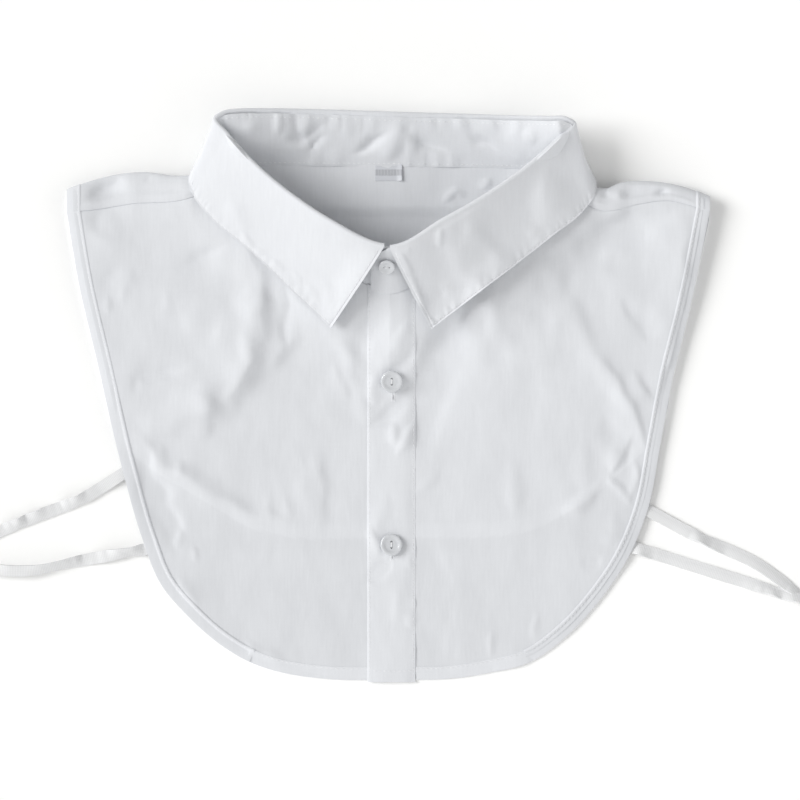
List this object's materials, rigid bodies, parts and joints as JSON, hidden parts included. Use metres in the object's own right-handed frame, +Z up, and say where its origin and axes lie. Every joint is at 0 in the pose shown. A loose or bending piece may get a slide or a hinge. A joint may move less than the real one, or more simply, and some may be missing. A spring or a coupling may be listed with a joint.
{
  "type": "detachable shirt collar",
  "caption": "Folded shirt collar on a small buttoned bib with elastic side loops, worn under a knitted top.",
  "frame": {"origin": "centre of the garment's outline without its elastics, on the surface it lies on", "axes": "+X to the wearer's left, which is the right of the view from above, +Y from the hem to the collar, +Z up from the surface"},
  "size_m": [0.425, 0.2866, 0.0374],
  "materials": {
    "poplin": "plain white cotton poplin, pressed",
    "elastic": "flat woven elastic, white",
    "button": "polished, slightly grey",
    "satin": "ribbed satin label tape, left bare"
  },
  "bodies": {
    "root": {"back_panel": "poplin", "front_button_side": "poplin", "front_hole_side": "poplin", "placket": "poplin", "collar_stand": "poplin", "collar_leaf": "poplin", "side_binding_left": "poplin", "side_binding_right": "poplin", "front_hem_left": "poplin", "front_hem_right": "poplin", "back_hem": "poplin", "elastic_left": "elastic", "elastic_right": "elastic", "collar_button": "button", "front_button_upper": "button", "front_button_lower": "button", "size_label": "satin"}
  },
  "joints": []
}
